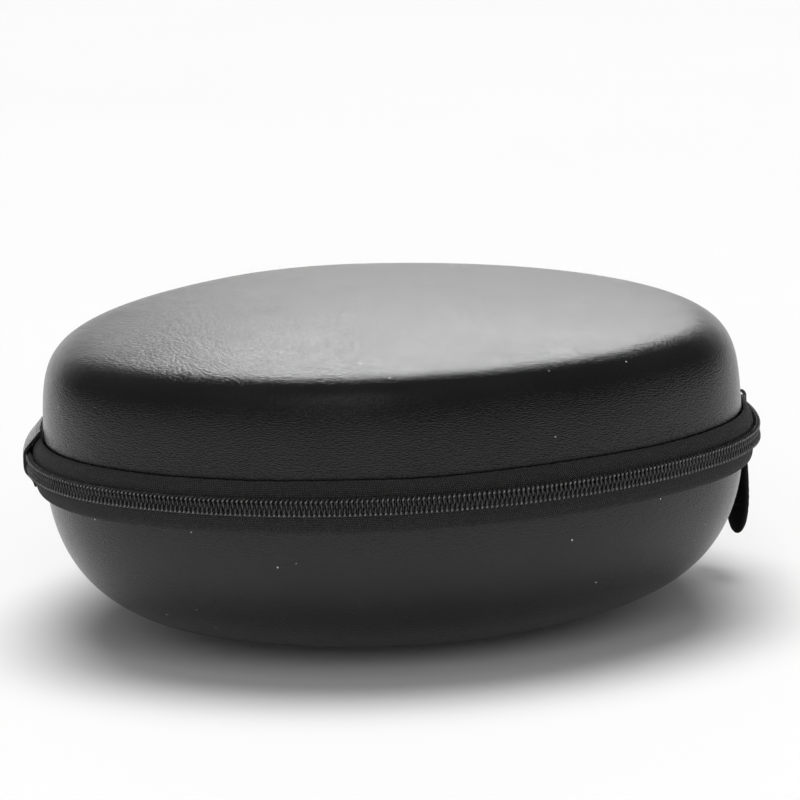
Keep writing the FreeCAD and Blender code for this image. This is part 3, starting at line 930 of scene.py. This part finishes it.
def make_pull_tab(name):
    """A moulded teardrop with a round eye and shallow finger ribs."""
    joint = next(joint for joint in frame["joints"] if joint["name"] == name + "_tab_sway")
    eye = np.array(joint["pos_m"])
    across_tab = np.array(joint["axis"])
    outward = across_tab if across_tab[:2] @ eye[:2] > 0 else -across_tab
    upward = np.array([0.0, 0.0, 1.0])
    ring = np.linspace(0.0, TAU, TAB_EYE_STEPS, endpoint=False)[:, None]
    circle = np.cross(upward, outward) * np.cos(ring) + upward * np.sin(ring)
    centres = eye + circle * TAB_EYE_RADIUS * MM
    loop = tube_object(
        name + "_tab_eye", centres, TAB_EYE_WIRE * MM, TAB_EYE_SIDES, RUBBER, name + "_tab", closed=True,
    )
    hanging = -upward - outward * TAB_LEAN
    outward = np.array(Matrix.Rotation(math.radians(TAB_TWIST), 3, "Z")) @ outward
    tangent = np.cross(upward, outward)
    widths = smooth_path(TAB_WIDTHS, TAB_ROWS)
    depths = smooth_path(TAB_DEPTHS, TAB_ROWS)
    down = widths[:, 0]
    in_grip = np.clip(np.minimum(down - TAB_GRIP[0], TAB_GRIP[1] - down), 0.0, 1.0)
    rib = 0.5 - 0.5 * np.cos(down / TAB_RIB_PITCH * TAU)
    half_depth = depths[:, 1] - TAB_RIB_DEPTH * in_grip * rib
    wide, deep = rounded_section(np.linspace(0.0, TAU, TAB_SIDES, endpoint=False), TAB_ROUNDING)
    points = eye + (
        tangent * (widths[:, 1, None] * wide)[..., None] + outward * (half_depth[:, None] * deep)[..., None]
        + hanging * down[:, None, None]
    ) * MM
    blade = grid_object(name + "_tab_grip", points, RUBBER, name + "_tab", wrap_columns=True)
    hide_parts(name + "_pull_tab")


# ---------------------------------------------------------------- carried-over CAD nodes

def finish_cad_nodes():
    """Give the CAD nodes that stay visible their materials."""
    looks = {"base_shell": FOAM, "lid_shell": FOAM, "left_zip_end_stop": STAPLE, "right_zip_end_stop": STAPLE}
    for name in ("front", "rear"):
        looks[name + "_slider_body"] = PAINT
        looks[name + "_slider_crown"] = PAINT
        looks[name + "_pull_ring"] = PAINT
    for name, material in looks.items():
        for slot in frame["nodes"][name].material_slots:
            slot.material = material


# ---------------------------------------------------------------- stage

CAMERA_AZIMUTH = -68.9
CAMERA_ELEVATION = 12.1
CAMERA_DISTANCE = 1302.0
CAMERA_LENS = 206.4
CAMERA_ROLL = 2.46
TARGET_Z = ZIP_Z - 1.5
TARGET_RIGHT = 4.1
TARGET_UP = 9.0
FLOOR_HALF_SIZE = 12.0  # metres
FLOOR_GAP = 0.0002  # metres


def direction(azimuth, elevation):
    """Unit vector towards a point round the case, in degrees from the front and above the floor."""
    around, raised = math.radians(azimuth), math.radians(elevation)
    return Vector((
        math.sin(around) * math.cos(raised), -math.cos(around) * math.cos(raised), math.sin(raised),
    ))


def view_axes():
    """Unit vectors towards the camera, to its right and up in its picture."""
    azimuth = math.radians(CAMERA_AZIMUTH)
    back = direction(CAMERA_AZIMUTH, CAMERA_ELEVATION)
    right = Vector((math.cos(azimuth), math.sin(azimuth), 0.0))
    return back, right, back.cross(right)


def make_camera():
    """A long lens a little above the zip, rolled slightly."""
    back, right, up = view_axes()
    target = Vector((0.0, 0.0, TARGET_Z)) + right * TARGET_RIGHT + up * TARGET_UP
    roll = math.radians(CAMERA_ROLL)
    across = right * math.cos(roll) - up * math.sin(roll)
    upright = right * math.sin(roll) + up * math.cos(roll)
    turn = Matrix((across, upright, back)).transposed().to_4x4()
    data = bpy.data.cameras.new("camera")
    data.lens = CAMERA_LENS
    data.sensor_width = 36.0
    data.clip_end = 20.0
    camera = bpy.data.objects.new("camera", data)
    camera.matrix_world = Matrix.Translation((target + back * CAMERA_DISTANCE) * MM) @ turn
    bpy.context.scene.collection.objects.link(camera)
    bpy.context.scene.camera = camera


def area_light(name, elevation, distance, side_angle, size, radiance):
    """A soft light aimed at the zip, in metres and in degrees from straight behind the case."""
    spot = direction(CAMERA_AZIMUTH + 180.0 + side_angle, elevation) * distance
    data = bpy.data.lights.new(name, "AREA")
    data.shape = "RECTANGLE"
    data.size, data.size_y = size
    data.energy = radiance * math.pi * size[0] * size[1]
    light = bpy.data.objects.new(name, data)
    light.rotation_euler = (-spot).to_track_quat("-Z", "Y").to_euler()
    light.location = spot + Vector((0.0, 0.0, ZIP_Z * MM))
    bpy.context.scene.collection.objects.link(light)
    return light


def diffuse_sun(name, elevation, side_angle, strength, width):
    """A wide, even light that doesn't show in reflections. Its width is in degrees."""
    towards = direction(CAMERA_AZIMUTH + 180.0 + side_angle, elevation)
    data = bpy.data.lights.new(name, "SUN")
    data.energy = strength
    data.angle = math.radians(width)
    light = bpy.data.objects.new(name, data)
    light.rotation_euler = (-towards).to_track_quat("-Z", "Y").to_euler()
    light.visible_glossy = False
    bpy.context.scene.collection.objects.link(light)


def make_sky():
    """White studio paper behind the case, falling away to a dim room on the camera's side."""
    world = bpy.data.worlds.new("studio")
    world.use_nodes = True
    tree = world.node_tree
    ray = node(tree, "ShaderNodeTexCoord").outputs["Generated"]
    away = (-math.sin(math.radians(CAMERA_AZIMUTH)), math.cos(math.radians(CAMERA_AZIMUTH)), 0.0)
    dot = node(tree, "ShaderNodeVectorMath", {0: ray, 1: away}, operation="DOT_PRODUCT")
    facing = dot.outputs["Value"]
    share = node(tree, "ShaderNodeMapRange", {"Value": facing, "From Min": 0.66, "From Max": 0.95})
    height = node(tree, "ShaderNodeSeparateXYZ", {"Vector": ray}).outputs["Z"]
    low = node(tree, "ShaderNodeMapRange", {"Value": height, "From Min": 0.32, "From Max": 0.2})
    paper = math_node(tree, "MULTIPLY", share.outputs["Result"], low.outputs["Result"])
    shade = ramp(tree, paper, (0.105, 0.105, 0.11), (1.0, 1.0, 1.0))
    background = tree.nodes["Background"]
    tree.links.new(shade, background.inputs["Color"])
    background.inputs["Strength"].default_value = 1.0
    bpy.context.scene.world = world


def make_stage():
    """A pale floor, wide even light from above and in front, and a soft light behind."""
    material, tree, shader, where = new_material("pale_floor", Roughness=0.9, Specular_IOR_Level=0.1)
    shade = ramp(tree, noise(tree, where, scale=3.0), (0.84, 0.84, 0.835), (0.87, 0.87, 0.865))
    connect(tree, shader, Base_Color=shade)
    half, z = FLOOR_HALF_SIZE, -FLOOR_GAP
    corners = [(-half, -half, z), (half, -half, z), (half, half, z), (-half, half, z)]
    mesh_object("floor", corners, [[0, 1, 2, 3]], material, None)
    make_sky()
    diffuse_sun("overhead", elevation=86.0, side_angle=0.0, strength=2.75, width=44.0)
    diffuse_sun("front_fill", elevation=24.0, side_angle=180.0, strength=1.2, width=60.0)
    softbox = area_light(
        "back_softbox", elevation=23.0, distance=1.4, side_angle=-3.0, size=(0.45, 0.15), radiance=8.5,
    )
    softbox.visible_diffuse = False
    area_light(
        "front_sparkle", elevation=58.0, distance=1.4, side_angle=165.0, size=(0.25, 0.25), radiance=4.0,
    )


bpy.context.scene.view_settings.view_transform = "Standard"
make_camera()
make_stage()
make_covers()
make_linings()
make_tape("lid", LID_TAPE_PATH)
make_tape("base", BASE_TAPE_PATH)
make_coil("lid", 1, 0.0)
make_coil("base", -1, 0.5)
make_coil_stitches("lid", 1, 0.0)
make_coil_stitches("base", -1, 0.5)
make_spine()
make_hinge_lining()
make_rims("lid", 1)
make_rims("base", -1)
make_pocket_net([make_pocket_binding(), make_pocket_elastic()])
make_pull_tab("front")
make_pull_tab("rear")
finish_cad_nodes()

bpy.context.view_layer.update()
